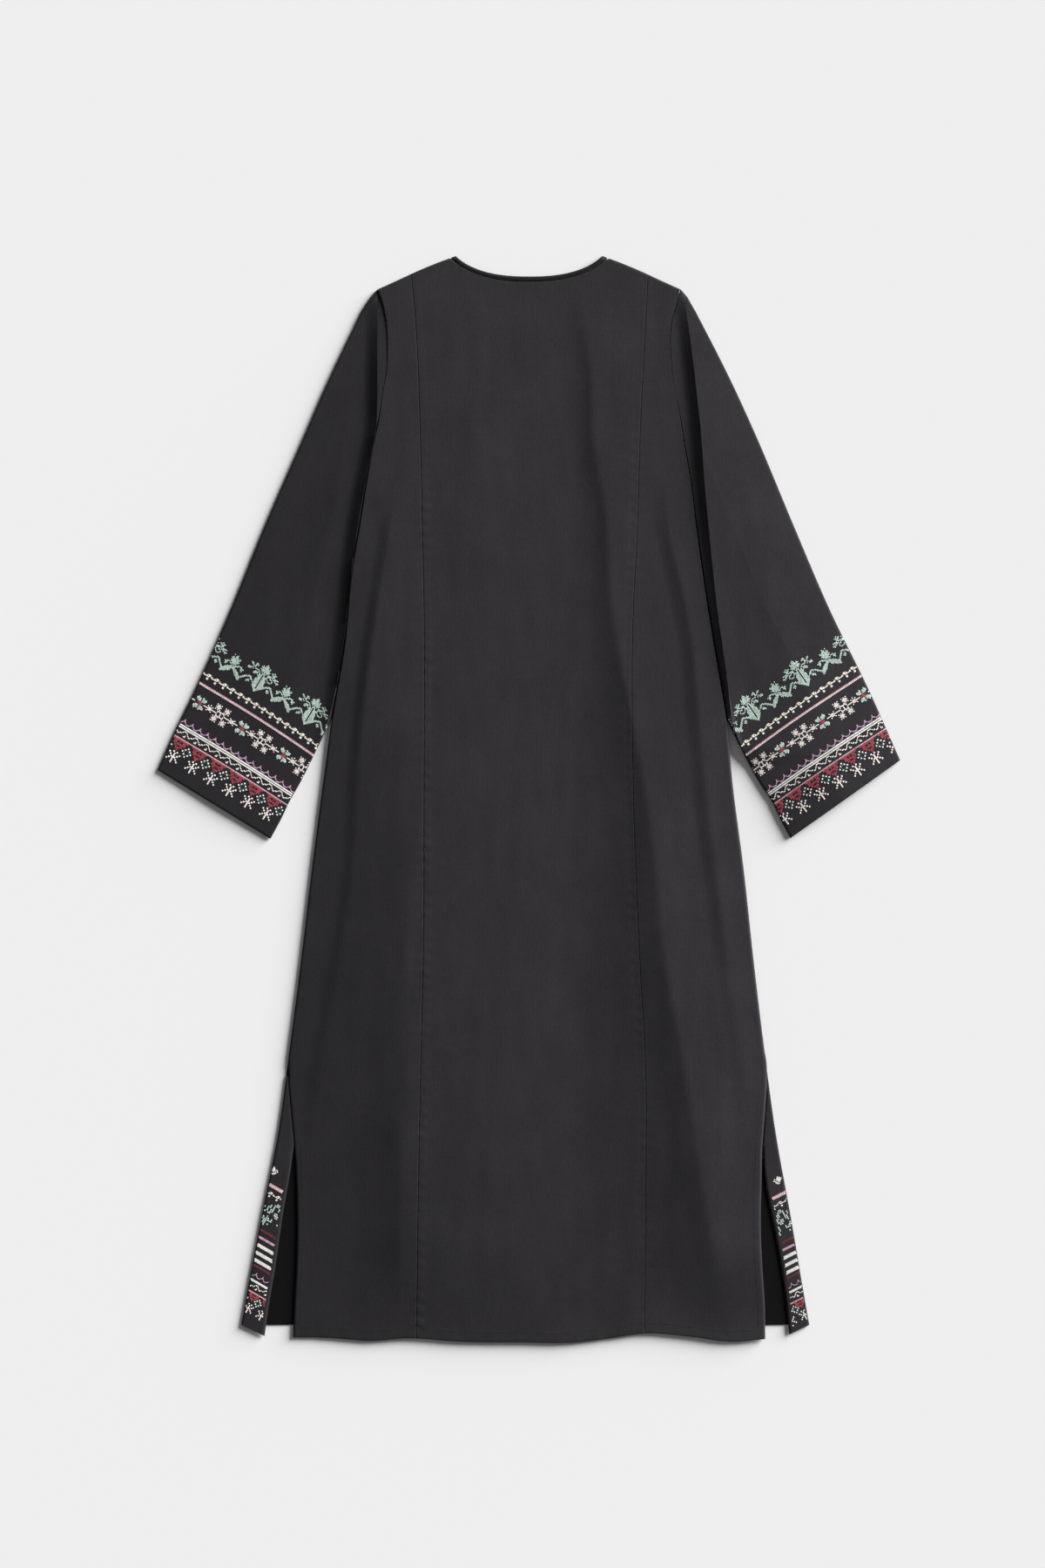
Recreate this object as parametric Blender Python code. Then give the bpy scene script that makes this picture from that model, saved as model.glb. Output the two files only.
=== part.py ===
"""A long black dress with flared sleeves, laid flat with its back up, as the cloth pieces that it is sewn from.

The front lies on the surface as one flat layer. Its side margins turn over at the two side slits, so they show
beside the back. The back is three panels that lie on the front with soft folds, each sleeve is a flattened tube,
and a narrow binding runs round the neck.

Plan positions are in millimetres: across from the middle line, positive to the right, and down from the neck points.
"""

import bmesh
import bpy
import numpy as np
from mathutils import Vector

MM = 0.001

# Driving sizes, in millimetres
LENGTH = 1310.0  # neck points to back hem
WALL = 1.6  # cloth with its turnings
LAYER_GAP = 0.3  # least space between two layers
SEAM_GAP = 0.3  # between two pieces sewn edge to edge
SIDE_GAP = 0.5  # between the body and a sleeve, along curved edges
REST_LIFT = 1.9  # usual space under the upper layer
MOST_LIFT = 3.9
EDGE_FADE = 16.0  # the upper layer comes down over this width along an outer edge
FOLD_END = 50.0  # each soft fold fades out over this length

NECK_HALF = 88.0
BACK_NECK_DEPTH = 25.0
FRONT_NECK_DEPTH = 75.0
FRONT_NECK_GAP = 0.8  # between the front and the binding, on a steep curve
BINDING_WIDTH = 6.0
PANEL_NECK_HALF = NECK_HALF + BINDING_WIDTH + SEAM_GAP
ARMHOLE_TOP = 40.0
ARMHOLE_FOOT = 198.0

TURN_START = 1000.0  # the front's side margins start to turn over here
TURN_BLEND = 30.0  # length over which the back's edge leaves the outline for the side seam
SLIT_TOP = 1075.0
LIP = 1.6  # width of the fold along a turned margin
FOLD_ROUND = 0.7
MARGIN_SLOPE = 0.48  # how far a turned margin's far edge drops for each millimetre of its width
FRONT_HEM = 1289.0

BODY_ROWS = 42
FRONT_ROWS = 34
TOP_PITCH = 0.5  # the first row of a body panel is this much of the mean row
SLEEVE_ROWS = 22
SIDE_COLUMNS = 8
SHOULDER_COLUMNS = 3
SLEEVE_COLUMNS = 9
SLEEVE_UNDER_COLUMNS = 5
SLEEVE_EDGE_STATIONS = (0.01, 0.04)  # first columns in from a sleeve's folded edge, as fractions of its width
FOLD_REACH = 6.0  # a flattened tube's inner face draws in over this width at its folded edges
NECK_STATIONS = (0.0, 0.17, 0.34, 0.5, 0.65, 0.8, 0.92, 0.983, 1.0)  # fractions of the neck's half width

CLOTH_COLOUR = (0.037, 0.034, 0.038)
BINDING_COLOUR = (0.030, 0.028, 0.031)


def table(columns, *rows):
    """A short table with named columns."""
    return {name: np.array(values, float) for name, values in zip(columns.split(), zip(*rows))}


SHOULDER = table(
    "across down",
    (88, 0), (110, 8), (134, 18), (160, 30), (182, 40),
)

# Outline of the body: the armholes, then the sides to the hem
BODY = table(
    "down left right",
    (40, -182, 182), (60, -176, 177), (82, -172, 171), (110, -171, 170), (138, -172, 172), (170, -178, 177),
    (198, -182, 183), (230, -189, 188), (270, -196, 195), (320, -204, 201), (380, -214, 209), (470, -223, 223),
    (560, -238, 238), (640, -249, 246), (740, -262, 259), (850, -275, 271), (950, -288, 283), (1060, -303, 298),
    (1160, -323, 316), (1260, -342, 333), (1294, -348, 339),
)

# Long seams between the back's middle and its sides
PRINCESS_SEAMS = table(
    "down left right",
    (26, -142, 143), (82, -137, 140), (136, -134, 137), (200, -132, 134), (330, -129, 130), (430, -127, 125),
    (640, -127, 125), (850, -128, 133), (980, -131, 140), (1140, -134, 140), (1303, -136, 139),
)

# Outer edge of the back below the turn: the side seam, then the slit's edge
BACK_EDGE = table(
    "down left right",
    (1000, -290, 287), (1040, -286.3, 284), (1075, -283, 281.4), (1115, -281, 280), (1160, -280, 279),
    (1220, -281, 281), (1260, -283, 284), (1306, -285, 285),
)

# Far edge of the front's turned margins below the slit's top
MARGIN_EDGE = table(
    "down left right",
    (1075, -284, 282), (1110, -289, 284), (1150, -296, 291), (1190, -302, 299), (1225, -307, 305),
    (1260, -313, 310), (1302, -319, 314),
)

BACK_HEM = table(
    "across down",
    (-285, 1304), (-260, 1304), (-222, 1306), (-197, 1308), (-145, 1305), (-83, 1309), (-8, 1310), (55, 1310),
    (103, 1304), (139, 1299), (194, 1303), (244, 1309), (285, 1306),
)

SLEEVE_OUTER = table(
    "down left right",
    (40, -182.5, 182.5), (47, -189, 189), (60, -198, 197), (90, -213, 213), (164, -248, 250), (217, -271, 274),
    (322, -317, 318), (427, -360, 363), (532, -407, 414), (575, -428, 433), (620, -448, 453),
)

# Inner edge of each sleeve below the place where it leaves the body's side
SLEEVE_INNER = table(
    "down left right",
    (560, -239, 239), (595, -256, 256), (637, -277, 279), (658, -289, 293), (679, -299, 303), (703, -312, 316),
)
SLEEVE_LEAVES = 560.0

# Corners of each cuff: outer across and down, inner across and down
CUFFS = {"left": (-448, 620, -312, 703), "right": (448, 608, 316, 702)}

# Soft folds: each runs through three places, has a half width on its left and right, and a lift in millimetres
# at the three places, below zero for a trough and above it for a ridge
FOLDS = table(
    "top_down top middle_down middle low_down low half_left half_right lift_top lift_middle lift_low",
    (240, -163, 640, -208, 1075, -266, 17, 24, -1.3, -1.5, -1.6),
    (570, -158, 850, -176, 1275, -228, 32, 30, -0.4, -0.9, -0.9),
    (50, 50, 600, 119, 1285, 205, 46, 24, -1.0, -1.4, -1.7),
    (150, 152, 590, 212, 1020, 265, 17, 18, -1.2, -1.3, -1.2),
    (50, -102, 220, -104, 390, -102, 15, 15, -0.5, -0.6, -0.3),
    (210, -178, 540, -224, 990, -281, 12, 11, 1.0, 1.4, 0.8),
    (90, -55, 320, -71, 560, -88, 26, 24, 0.7, 1.2, 0.7),
    (90, 24, 640, 50, 1290, 62, 30, 34, 1.0, 0.8, 0.7),
    (90, 112, 640, 164, 1290, 250, 26, 30, 0.8, 1.9, 1.7),
    (44, -186, 140, -196, 235, -199, 9, 8, -1.7, -1.7, -1.4),
    (44, 186, 140, 197, 235, 202, 8, 9, -1.7, -1.7, -1.4),
    (100, -208, 330, -230, 640, -292, 15, 14, 0.8, 1.4, 0.8),
    (100, 209, 330, 230, 640, 294, 14, 15, 0.8, 1.5, 0.8),
    (130, -240, 330, -262, 560, -330, 24, 22, -0.5, -0.9, -0.4),
    (130, 241, 330, 272, 560, 334, 22, 24, -0.5, -0.9, -0.4),
)


def smooth(xs, ys, x):
    """A smooth curve through a table's points, level beyond its two ends."""
    x = min(max(x, xs[0]), xs[-1])
    slopes = np.gradient(ys, xs)
    i = min(int(np.searchsorted(xs, x, side="right")) - 1, len(xs) - 2)
    step = xs[i + 1] - xs[i]
    t = (x - xs[i]) / step
    return float(
        ys[i] * (1 + 2 * t) * (1 - t) ** 2
        + ys[i + 1] * t * t * (3 - 2 * t)
        + step * (slopes[i] * t * (1 - t) ** 2 - slopes[i + 1] * t * t * (1 - t))
    )


def side_name(side):
    return "left" if side < 0 else "right"


def read(rows, side, down):
    """Value of a left and right table at one side."""
    return smooth(rows["down"], rows[side_name(side)], down)


def ease(distance, width):
    """Rises softly from 0 at distance 0 to 1 at the width."""
    t = min(max(distance / width, 0.0), 1.0)
    return t * t * (3 - 2 * t)


def between(start, end, t):
    return start * (1 - t) + end * t


def shoulder_down(across):
    return smooth(SHOULDER["across"], SHOULDER["down"], abs(across))


def back_side(side, down):
    """Outer edge of the back: the body's outline, then the side seam and the slit once the front turns over."""
    turn = ease(down - TURN_START + TURN_BLEND, TURN_BLEND)
    return between(read(BODY, side, down), read(BACK_EDGE, side, down), turn)


def margin_edge(side, down):
    """Far edge of the front's turned margin, sewn to the back above the slit and free below it."""
    edge = back_side(side, down) + side * SEAM_GAP
    if down > SLIT_TOP:
        edge = side * max(side * edge, side * read(MARGIN_EDGE, side, down))
    return edge


def neck_down(across, depth, margin):
    """Neck curve of a given depth, moved outward by the margin. It ends on the shoulder lines."""
    half = NECK_HALF + margin
    start = shoulder_down(half)
    reach = min(abs(across) / half, 1.0)
    return start + (depth + margin - start) * (1 - reach**2.5) ** 0.8


def top_down(across, depth, margin):
    """Top edge of a body panel: the neck's edge between the shoulder lines."""
    if abs(across) < PANEL_NECK_HALF:
        return neck_down(across, depth, margin)
    return shoulder_down(across)


def back_top(across):
    return top_down(across, BACK_NECK_DEPTH, BINDING_WIDTH + SEAM_GAP)


def front_top(across):
    return top_down(across, FRONT_NECK_DEPTH, BINDING_WIDTH + FRONT_NECK_GAP)


def back_hem(across):
    return smooth(BACK_HEM["across"], BACK_HEM["down"], across)


def front_hem(across):
    return FRONT_HEM


def fold_lift(across, down):
    """Height that the soft folds add at a place, in millimetres."""
    total = 0.0
    for row in zip(*FOLDS.values()):
        fold = dict(zip(FOLDS, row))
        top, middle, low = fold["top_down"], fold["middle_down"], fold["low_down"]
        if not top < down < low:
            continue
        centre = (
            fold["top"] * (down - middle) * (down - low) / ((top - middle) * (top - low))
            + fold["middle"] * (down - top) * (down - low) / ((middle - top) * (middle - low))
            + fold["low"] * (down - top) * (down - middle) / ((low - top) * (low - middle))
        )
        reach = (across - centre) / (fold["half_left"] if across < centre else fold["half_right"])
        if abs(reach) < 1:
            lift = np.interp(down, (top, middle, low), (fold["lift_top"], fold["lift_middle"], fold["lift_low"]))
            ends = ease(down - top, FOLD_END) * ease(low - down, FOLD_END)
            total += lift * ends * (0.5 + 0.5 * np.cos(np.pi * reach))
    return total


def upper_lift(across, down, inset):
    """Space under the upper layer. It closes to the least gap along an outer edge, where the inset is 0."""
    lift = min(max(REST_LIFT + fold_lift(across, down), LAYER_GAP), MOST_LIFT)
    return between(LAYER_GAP, lift, ease(inset, EDGE_FADE))


def back_lift(across, down):
    """Space under the back, which stays open along the armholes and at the hem."""
    side = -1 if across < 0 else 1
    from_side = abs(back_side(side, down) - across) + EDGE_FADE * ease(ARMHOLE_FOOT - down, EDGE_FADE)
    return upper_lift(across, down, min(from_side, down - back_top(across)))


def place(across, down, height):
    """A plan position and height as a point of the model, whose origin is under the middle of the dress."""
    return Vector((across, LENGTH / 2 - down, height)) * MM


def extrude(bm, faces):
    """Extrudes a region of faces in place, and gives the new verts and faces."""
    edges = {edge for face in faces for edge in face.edges}
    verts = {vert for face in faces for vert in face.verts}
    raised = bmesh.ops.extrude_face_region(bm, geom=[*faces, *edges, *verts])["geom"]
    new_verts = [item for item in raised if isinstance(item, bmesh.types.BMVert)]
    return new_verts, [item for item in raised if isinstance(item, bmesh.types.BMFace)]


def cloth_wall(columns, rows, under, over, around=False):
    """Closed wall of cloth on a grid of columns and rows.

    Two functions of a column and a row give its two faces. Where it goes around, the last column is the first.
    """
    bm = bmesh.new()
    bmesh.ops.create_grid(bm, x_segments=columns, y_segments=rows, size=0.5)
    column_of = bm.verts.layers.int.new("column")
    row_of = bm.verts.layers.int.new("row")
    for vert in bm.verts:
        vert[column_of] = round((vert.co.x + 0.5) * columns)
        vert[row_of] = round((0.5 - vert.co.y) * rows)
    if around:
        first = {vert[row_of]: vert for vert in bm.verts if vert[column_of] == 0}
        last = {vert: first[vert[row_of]] for vert in bm.verts if vert[column_of] == columns}
        bmesh.ops.weld_verts(bm, targetmap=last)
    for vert in bm.verts:
        vert.co = under(vert[column_of], vert[row_of])
    raised, _ = extrude(bm, bm.faces[:])
    for vert in raised:
        vert.co = over(vert[column_of], vert[row_of])
    bmesh.ops.recalc_face_normals(bm, faces=bm.faces)
    return bm


def finish(bm, name, material):
    """Makes the named object, smooth over the cloth and sharp at its cut edges."""
    mesh = bpy.data.meshes.new(name)
    bm.to_mesh(mesh)
    bm.free()
    mesh.materials.append(material)
    mesh.shade_smooth()
    mesh.set_sharp_from_angle(angle=np.radians(40))
    bpy.context.scene.collection.objects.link(bpy.data.objects.new(name, mesh))


def neck_stations():
    """Places across a body panel's neck edge, closer together near the shoulders."""
    half = [PANEL_NECK_HALF * station for station in NECK_STATIONS]
    return [-across for across in half[:0:-1]] + half


def panel_plan(tops, rows, left, right, top, hem):
    """Plan of a body panel as a function of a column and a row.

    The tops are the columns' places across its top edge. Two functions give its side edges by their distance
    down, and two give its top and hem by their distance across.
    """

    def across_at(fraction, down):
        return between(left(down), right(down), fraction)

    def meet(fraction, edge):
        """Distance down at which a column meets an edge."""
        down = edge(across_at(fraction, edge(0)))
        for _ in range(4):
            down = edge(across_at(fraction, down))
        return down

    fractions = [(across - tops[0]) / (tops[-1] - tops[0]) for across in tops]
    ends = [(meet(fraction, top), meet(fraction, hem)) for fraction in fractions]

    def plan(column, row):
        along = row / rows
        down = between(*ends[column], along * between(TOP_PITCH, 1, along))
        return across_at(fractions[column], down), down

    return plan


def back_panel(name, tops, left, right, material):
    """One panel of the back, lying on the front."""
    plan = panel_plan(tops, BODY_ROWS, left, right, back_top, back_hem)

    def face(extra):
        def point(column, row):
            across, down = plan(column, row)
            return place(across, down, WALL + back_lift(across, down) + extra)

        return point

    finish(cloth_wall(len(tops) - 1, BODY_ROWS, face(0), face(WALL)), name, material)


def back_centre(material):
    def left(down):
        return read(PRINCESS_SEAMS, -1, down) + SEAM_GAP / 2

    def right(down):
        return read(PRINCESS_SEAMS, 1, down) - SEAM_GAP / 2

    neck = neck_stations()
    tops = [
        *np.linspace(left(0), neck[0], SHOULDER_COLUMNS, endpoint=False),
        *neck,
        *np.linspace(right(0), neck[-1], SHOULDER_COLUMNS, endpoint=False)[::-1],
    ]
    back_panel("back_centre", tops, left, right, material)


def back_side_panel(side, material):
    def armhole_edge(down):
        return back_side(side, down)

    def princess_edge(down):
        return read(PRINCESS_SEAMS, side, down) + side * SEAM_GAP / 2

    left, right = (armhole_edge, princess_edge) if side < 0 else (princess_edge, armhole_edge)
    tops = np.linspace(left(ARMHOLE_TOP), right(ARMHOLE_TOP), SIDE_COLUMNS + 1)
    back_panel(f"back_side_{side_name(side)}", tops, left, right, material)


def turn_margin(bm, side):
    """Turns the front's side margin up and over: a lip along the outline, then a strip that lies on the front."""
    bm.normal_update()

    def outline_at(point):
        down = LENGTH / 2 - point.y / MM
        return side * read(BODY, side, down) - side * point.x / MM, down

    lip = []
    for face in bm.faces:
        from_outline = outline_at(face.calc_center_median())[0]
        starts = min(outline_at(vert.co)[1] for vert in face.verts)
        if face.normal.z > 0.5 and starts > TURN_START and from_outline < LIP:
            lip.append(face)
    for rise in (LAYER_GAP, WALL):
        lip_verts, lip = extrude(bm, lip)
        bmesh.ops.translate(bm, verts=lip_verts, vec=(0, 0, rise * MM))
    bm.normal_update()
    beside = {face for vert in lip_verts for face in vert.link_faces} - set(lip)
    inward = [face for face in beside if face.normal.x * side < -0.5]
    far_verts, _ = extrude(bm, inward)
    for vert in far_verts:
        start, down = vert.co.x / MM, LENGTH / 2 - vert.co.y / MM
        across = margin_edge(side, down)
        for _ in range(4):
            across = margin_edge(side, down + MARGIN_SLOPE * abs(across - start))
        vert.co = place(across, down + MARGIN_SLOPE * abs(across - start), vert.co.z / MM)
    for vert in bm.verts:
        from_outline, down = outline_at(vert.co)
        on_face = vert.co.z < 0.1 * MM or vert.co.z > (WALL + LAYER_GAP + 0.1) * MM
        if on_face and down > TURN_START and from_outline < 0.5 * LIP:
            vert.co.x -= side * FOLD_ROUND * MM


def front(material):
    """The front as one flat layer, with its side margins turned over at the slits."""

    def left(down):
        return read(BODY, -1, down)

    def right(down):
        return read(BODY, 1, down)

    neck = neck_stations()
    tops = [
        *np.linspace(left(0) + LIP, neck[0], SHOULDER_COLUMNS + 1, endpoint=False),
        *neck,
        *np.linspace(right(0) - LIP, neck[-1], SHOULDER_COLUMNS + 1, endpoint=False)[::-1],
    ]
    plan = panel_plan(
        tops, FRONT_ROWS, lambda down: left(down) + LIP, lambda down: right(down) - LIP, front_top, front_hem
    )
    last = len(tops) + 1

    def face(height):
        def point(column, row):
            across, down = plan(min(max(column - 1, 0), len(tops) - 1), row)
            lip = LIP * ((column == last) - (column == 0))
            return place(across + lip, down, height)

        return point

    bm = cloth_wall(last, FRONT_ROWS, face(0), face(WALL))
    turn_margin(bm, -1)
    turn_margin(bm, 1)
    finish(bm, "front", material)


def flat_tube(name, rows, tops, bottoms, width, top_plan, bottom_plan, lift, material):
    """A tube of cloth laid flat: an upper and a lower sheet that meet at two folded edges.

    The tops and bottoms are fractions of the width. Each plan is a function of such a fraction and of the
    fraction along the tube, and the lift is the space between the sheets at a place.
    """
    ring = [(top_plan, fraction, True) for fraction in tops]
    ring += [(bottom_plan, fraction, False) for fraction in reversed(bottoms) if 0 < fraction < 1]
    columns = len(ring)
    middle = WALL + LAYER_GAP / 2

    def face(outside):
        def point(column, row):
            plan, fraction, on_top = ring[column % columns]
            folded = fraction in (0, 1)
            inset = min(fraction, 1 - fraction) * width
            if not outside and inset < FOLD_REACH:
                push = WALL * (1 - inset / FOLD_REACH) / width
                fraction += push if fraction < 0.5 else -push
            across, down = plan(fraction, row / rows)
            if folded:
                return place(across, down, middle)
            if on_top:
                return place(across, down, WALL + lift(across, down, inset) + (WALL if outside else 0))
            return place(across, down, 0 if outside else WALL)

        return point

    finish(cloth_wall(columns, rows, face(False), face(True), around=True), name, material)


def sleeve_inner(side, down):
    """Inner edge of a sleeve: along the body's side, then on its own to the cuff."""
    edge = read(BODY, side, down) + side * SIDE_GAP
    if down > SLEEVE_LEAVES:
        edge = side * max(side * edge, side * read(SLEEVE_INNER, side, down))
    return edge


def sleeve(side, material):
    """A set-in sleeve from the armhole to the slanted cuff."""
    cuff_outer, cuff_outer_down, cuff_inner, cuff_inner_down = CUFFS[side_name(side)]

    def plan(s, t):
        outer_down = between(ARMHOLE_TOP, cuff_outer_down, t)
        inner_down = between(ARMHOLE_FOOT, cuff_inner_down, t)
        arm_outer, arm_inner = (read(BODY, side, down) + side * SIDE_GAP for down in (ARMHOLE_TOP, ARMHOLE_FOOT))
        arm = read(BODY, side, between(ARMHOLE_TOP, ARMHOLE_FOOT, s)) + side * SIDE_GAP
        along = between(arm, between(cuff_outer, cuff_inner, s), t)
        beside = between(read(SLEEVE_OUTER, side, outer_down), sleeve_inner(side, inner_down), s)
        corners = between(between(arm_outer, arm_inner, s), between(cuff_outer, cuff_inner, s), t)
        return along + beside - corners, between(outer_down, inner_down, s)

    edges = (0.0, *SLEEVE_EDGE_STATIONS)
    far_edges = [1 - station for station in reversed(edges)]
    tops = [*edges, *np.linspace(0, 1, SLEEVE_COLUMNS + 1)[1:-1], *far_edges]
    bottoms = [*edges, *np.linspace(0, 1, SLEEVE_UNDER_COLUMNS + 1)[1:-1], *far_edges]
    name = f"sleeve_{side_name(side)}"
    flat_tube(name, SLEEVE_ROWS, tops, bottoms, ARMHOLE_FOOT - ARMHOLE_TOP, plan, plan, upper_lift, material)


def neck_binding(material):
    """A narrow band round the neck: along the back's edge on top, and along the front's edge below."""

    def band(depth):
        def plan(s, t):
            margin = BINDING_WIDTH * t
            across = (2 * s - 1) * (NECK_HALF + margin)
            return across, neck_down(across, depth, margin)

        return plan

    stations = [(1 - station) / 2 for station in reversed(NECK_STATIONS)]
    stations += [1 - station for station in reversed(stations[:-1])]
    flat_tube(
        "neck_binding", 1, stations, stations, 2 * NECK_HALF, band(BACK_NECK_DEPTH), band(FRONT_NECK_DEPTH),
        lambda across, down, inset: LAYER_GAP, material,
    )


def cloth(name, colour):
    """Matt woven cotton."""
    material = bpy.data.materials.new(name)
    material.use_nodes = True
    shader = material.node_tree.nodes["Principled BSDF"]
    shader.inputs["Base Color"].default_value = (*colour, 1)
    shader.inputs["Roughness"].default_value = 0.85
    shader.inputs["Metallic"].default_value = 0.0
    return material


def main():
    for old in list(bpy.data.objects):
        bpy.data.objects.remove(old, do_unlink=True)
    black_cloth = cloth("black_cloth", CLOTH_COLOUR)
    binding_cloth = cloth("binding_cloth", BINDING_COLOUR)
    front(black_cloth)
    back_centre(black_cloth)
    for side in (-1, 1):
        back_side_panel(side, black_cloth)
        sleeve(side, black_cloth)
    neck_binding(binding_cloth)


main()
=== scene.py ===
"""A long black dress with flared sleeves and cross-stitch bands, laid flat with its back up.

Plan positions are in millimetres: across from the middle line, positive to the right, and down from the neck
points. Heights are in millimetres above the surface that the dress lies on.
"""

import bmesh
import bpy
import numpy as np
from mathutils import Matrix, Vector


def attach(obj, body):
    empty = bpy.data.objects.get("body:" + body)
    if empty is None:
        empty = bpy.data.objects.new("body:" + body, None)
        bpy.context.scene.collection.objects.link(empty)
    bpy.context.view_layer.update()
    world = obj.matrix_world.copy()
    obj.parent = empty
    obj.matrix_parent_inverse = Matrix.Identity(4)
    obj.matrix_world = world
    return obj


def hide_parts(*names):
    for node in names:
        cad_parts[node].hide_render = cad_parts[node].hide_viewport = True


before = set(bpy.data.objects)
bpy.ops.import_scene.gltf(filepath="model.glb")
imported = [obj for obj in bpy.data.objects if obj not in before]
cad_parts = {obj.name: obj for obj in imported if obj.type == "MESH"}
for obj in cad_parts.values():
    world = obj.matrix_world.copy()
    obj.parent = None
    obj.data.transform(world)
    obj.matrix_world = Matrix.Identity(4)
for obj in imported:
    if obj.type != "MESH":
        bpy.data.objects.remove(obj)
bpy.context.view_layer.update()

MM = 0.001

# Sizes of the cut, in millimetres
LENGTH = 1310.0  # neck points to back hem
NECK_HALF = 88.0
BACK_NECK_DEPTH = 25.0
BACK_CENTRE_WIDTH = 262.0
BACK_SIDE_WIDTH = 130.0
FRONT_NECK_DEPTH = 75.0
FRONT_NECK_GAP = 0.8
BINDING_WIDTH = 6.0
SEAM_GAP = 0.16  # between two pieces sewn edge to edge
SIDE_GAP = 0.2  # between the body and a sleeve
ARMHOLE_TOP = 40.0
ARMHOLE_FOOT = 198.0
TURN_START = 986.0  # the front's side margins start to turn over here
TURN_BLEND = 30.0
SLIT_TOP = 1075.0
MARGIN_SLOPE = 0.48  # how far a turned margin's far edge drops for each millimetre of its width
FRONT_HEM = 1289.0
SLEEVE_LEAVES = 560.0  # the sleeves leave the body's sides here

# Cloth and how it lies
CLOTH = 0.8  # thickness of the cloth as drawn
UNDER_FACE = 0.5  # height of the front's outer face, which leaves room for the stitches below it
TOP_REST = 6.2  # usual height of the upper face at the shoulders and sleeves
SKIRT_REST = 6.8  # and further down the body
CUFF_REST = 4.5
HEM_REST = 5.6  # the back comes down to no more than this at its hem
SKIRT_EDGE = {-1: 4.0, 1: 12.5}  # most that the skirt stands up beside its edge, left and right
SKIRT_CLIMB = {-1: 125.0, 1: 50.0}  # and the width over which it climbs from there
SLEEVE_EDGE = {-1: 3.7, 1: 4.6}  # the same for a sleeve's free edges
SLEEVE_CLIMB = 75.0
MARGIN_FOLD = 1.9  # upper face of a turned margin at its fold
MARGIN_REST = 3.5  # and away from it
MARGIN_ROLL = 2.2
SLIT_EDGE_DROP = 2.6  # the free edge of the back hangs this far down beside a slit
LEAST_HEIGHT = 2.6
MOST_HEIGHT = 15.8
EDGE_HEIGHT = 2.3  # upper face along a sewn or folded outer edge
EDGE_ROLL = 2.4  # a folded edge rounds down over this width
BODY_ROLL = 1.2  # and this one along the body beside a sleeve
CREVICE_WIDTH = 8.0  # the cloth's grid is drawn in toward a sleeve's crevice over this width
SEAM_DIP = 0.4
SEAM_ROLL = 1.1
ALLOWANCE = 8.4  # turnings pressed to one side of a long seam
SEAM_RAISE = {-1: 0.10, 1: -0.10}  # how much the cloth stands up over those turnings, left and right
SEAM_PUCKER = {-1: 0.24, 1: 0.14}
CREVICE_REACH = 15.0  # a sleeve's sharp fold rises over this width
CREVICE_LEAN = 1.2  # and its crest leans over its step by this much
BACK_HEM_DEPTH = 13.6
SLIT_HEM_DEPTH = 9.0
STEP = 0.05  # a hem or turning stands this much higher

PITCH = 4.6  # of the cloth's grid across
ROW_PITCH = 3.5
# Lines of the grid close to an edge, to a turned hem, and to an edge beside turnings or a slit's hem
NEAR_EDGE = (0.0, 0.5, 1.1, 2.0, 3.5)
NEAR_HEM = (*NEAR_EDGE, 8.0, 12.4, 13.2, 14.0, 15.0)
NEAR_TURNINGS = (*NEAR_EDGE, 6.0, 7.8, 8.5, 9.3)
NEAR_SLIT = (*NEAR_EDGE, 6.0, 8.3, 9.0, 9.8)

# Embroidery
NECK_STITCH_HEIGHT = 6.5  # on the back of the binding
STITCH = 2.2  # one cross-stitch
CUFF_LENGTH = 150.0  # of a cuff's edge, about
CUFF_SHIFT = {-1: 0.0, 1: 4.8}  # stitches by which a cuff's bands start further out
CUFF_DROP = 5.0  # the right cuff's bands sit this much lower at its outer end
CUFF_CLEAR = 1.2  # the stitches keep this far from a cuff's long edges
MARGIN_CLEAR = 1.4  # from a turned margin's fold
STRIP_CLEAR = 5.0  # and from its far edge
SPRIG_ROW = 78  # the rows above this are the sprigs over the hem's bands
SPRIG_SHIFT = {-1: 0.0, 1: 5.2}


def table(columns, *rows):
    """A short table with named columns."""
    return {name: np.array(values, float) for name, values in zip(columns.split(), zip(*rows))}


SHOULDER = table(
    "across down",
    (88, 0), (110, 8), (134, 18), (160, 30), (182, 40),
)
BODY = table(
    "down left right",
    (40, -182, 182), (60, -176, 177), (82, -172, 171), (110, -171, 170), (138, -172, 172), (170, -178, 177),
    (198, -182, 183), (230, -189, 188), (270, -196, 195), (320, -204, 201), (380, -214, 209), (470, -223, 223),
    (560, -238, 238), (640, -249, 246), (740, -262, 259), (850, -275, 271), (950, -288, 283), (1060, -303, 298),
    (1160, -323, 316), (1260, -342, 333), (1294, -348, 339),
)
PRINCESS_SEAMS = table(
    "down left right",
    (26, -142, 143), (82, -137, 140), (136, -134, 137), (200, -132, 134), (330, -129, 130), (430, -127, 125),
    (640, -127, 125), (850, -128, 133), (980, -131, 140), (1140, -134, 140), (1303, -136, 139),
)
BACK_EDGE = table(
    "down left right",
    (1000, -290, 287), (1040, -286.3, 284), (1075, -283, 281.4), (1115, -281, 280), (1160, -280, 279),
    (1220, -281, 281), (1260, -283, 284), (1306, -285, 285),
)
MARGIN_EDGE = table(
    "down left right",
    (1075, -284, 282), (1110, -289, 284), (1150, -296, 291), (1190, -302, 299), (1225, -307, 305),
    (1260, -313, 310), (1302, -319, 314),
)
BACK_HEM = table(
    "across down",
    (-285, 1304), (-260, 1304), (-222, 1306), (-197, 1308), (-145, 1305), (-83, 1309), (-8, 1310), (55, 1310),
    (103, 1304), (139, 1299), (194, 1303), (244, 1309), (285, 1306),
)
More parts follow.
